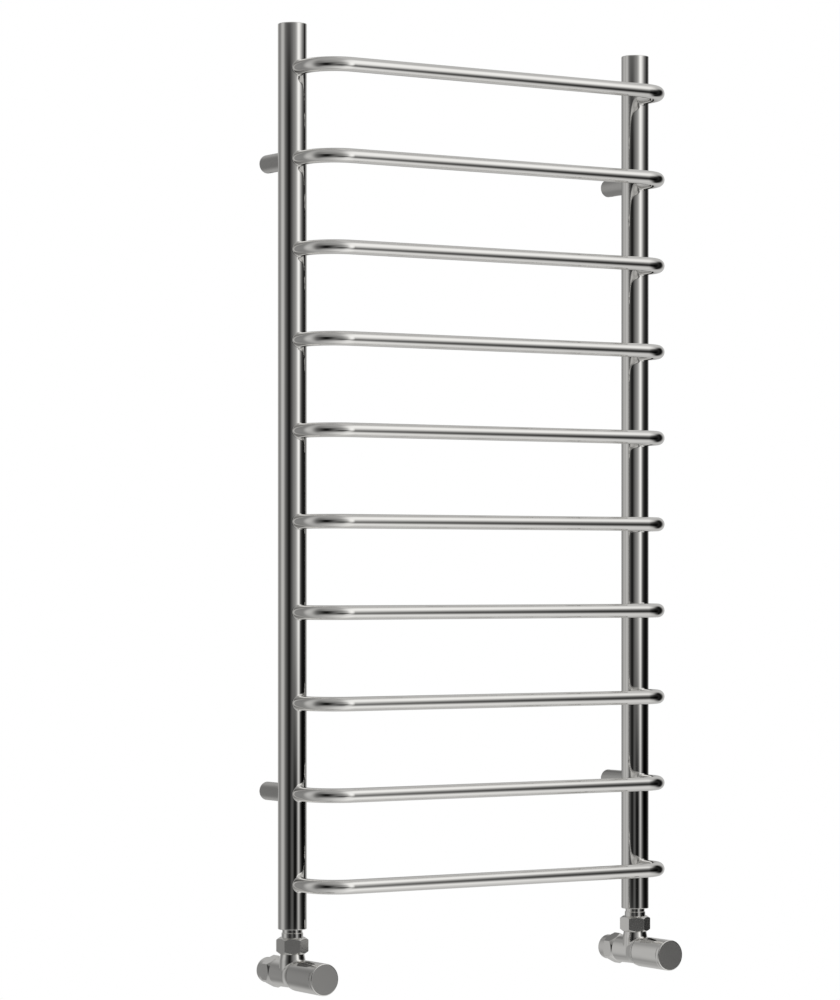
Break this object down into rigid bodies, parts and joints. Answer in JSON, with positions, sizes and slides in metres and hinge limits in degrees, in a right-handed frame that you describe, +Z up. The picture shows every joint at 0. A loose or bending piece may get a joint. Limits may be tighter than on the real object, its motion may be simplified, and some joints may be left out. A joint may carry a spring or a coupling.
{
  "type": "ladder towel radiator with corner valves",
  "caption": "Wall-hung chrome ladder towel radiator: tubular uprights, forward-bent round bars, wall stand-offs and a corner valve with a round head at each foot.",
  "frame": {"origin": "centre of the four wall fixings, in the wall plane", "axes": "+X along the bars to the viewer's right, +Y into the wall, +Z up"},
  "size_m": [0.5034, 0.132, 1.0677],
  "materials": {
    "rail_chrome": "polished chrome plate on steel tube",
    "valve_chrome": "polished chrome plate on brass",
    "brass": "turned, bare",
    "steel": "zinc plated",
    "rubber": "matt black",
    "nylon": "moulded, satin"
  },
  "bodies": {
    "rail": {"left_upright": "rail_chrome", "right_upright": "rail_chrome", "left_top_cap": "rail_chrome", "right_top_cap": "rail_chrome", "left_foot_bush": "rail_chrome", "right_foot_bush": "rail_chrome", "bar_01": "rail_chrome", "bar_02": "rail_chrome", "bar_03": "rail_chrome", "bar_04": "rail_chrome", "bar_05": "rail_chrome", "bar_06": "rail_chrome", "bar_07": "rail_chrome", "bar_08": "rail_chrome", "bar_09": "rail_chrome", "bar_10": "rail_chrome", "upper_left_bracket_sleeve": "rail_chrome", "upper_right_bracket_sleeve": "rail_chrome", "lower_left_bracket_sleeve": "rail_chrome", "lower_right_bracket_sleeve": "rail_chrome", "upper_left_wall_peg": "steel", "upper_right_wall_peg": "steel", "lower_left_wall_peg": "steel", "lower_right_wall_peg": "steel", "bracket_grub_screws": "steel", "air_vent_boss": "rail_chrome", "air_vent_washer": "rubber", "air_vent_plug": "rail_chrome", "tail_o_rings": "rubber", "union_seals": "rubber", "bonnet_o_rings": "rubber", "spindle_o_rings": "rubber", "left_tail": "valve_chrome", "left_union_nut": "valve_chrome", "left_valve_body": "valve_chrome", "left_bonnet": "brass", "left_compression_nut": "valve_chrome", "left_olive": "brass", "right_tail": "valve_chrome", "right_union_nut": "valve_chrome", "right_valve_body": "valve_chrome", "right_bonnet": "brass", "right_compression_nut": "valve_chrome", "right_olive": "brass"},
    "handwheel": {"handwheel": "valve_chrome", "handwheel_face": "valve_chrome", "handwheel_screw": "steel", "left_spindle": "brass"},
    "left_plug": {"left_plug": "brass", "left_plug_washer": "rubber"},
    "lockshield_cap": {"lockshield_cap": "valve_chrome", "lockshield_face": "valve_chrome", "lockshield_insert": "nylon"},
    "right_spindle": {"right_spindle": "brass"},
    "right_plug": {"right_plug": "brass", "right_plug_washer": "rubber"},
    "bleed_screw": {"bleed_screw": "brass"}
  },
  "joints": [
    {"name": "handwheel_turn", "type": "hinge", "parent": "rail", "child": "handwheel", "pos_m": [-0.234, -0.056, -0.5498], "axis": [0, 1, 0], "range_deg": [0, 1080]},
    {"name": "left_plug_travel", "type": "slide", "parent": "rail", "child": "left_plug", "axis": [0, 1, 0], "range_m": [0, 0.0045]},
    {"name": "lockshield_cap_pull", "type": "slide", "parent": "rail", "child": "lockshield_cap", "axis": [0, -1, 0], "range_m": [0, 0.06]},
    {"name": "lockshield_turn", "type": "hinge", "parent": "rail", "child": "right_spindle", "pos_m": [0.234, -0.056, -0.5498], "axis": [0, 1, 0], "range_deg": [0, 1080]},
    {"name": "right_plug_travel", "type": "slide", "parent": "rail", "child": "right_plug", "axis": [0, 1, 0], "range_m": [0, 0.0045]},
    {"name": "bleed_screw_turn", "type": "hinge", "parent": "rail", "child": "bleed_screw", "pos_m": [0.234, -0.037, 0.47], "axis": [0, 1, 0], "range_deg": [0, 360]}
  ],
  "couplings": [
    {"joint": "left_plug_travel", "follows": "handwheel_turn", "m_per_rad": 0.00023873},
    {"joint": "right_plug_travel", "follows": "lockshield_turn", "m_per_rad": 0.00023873}
  ]
}
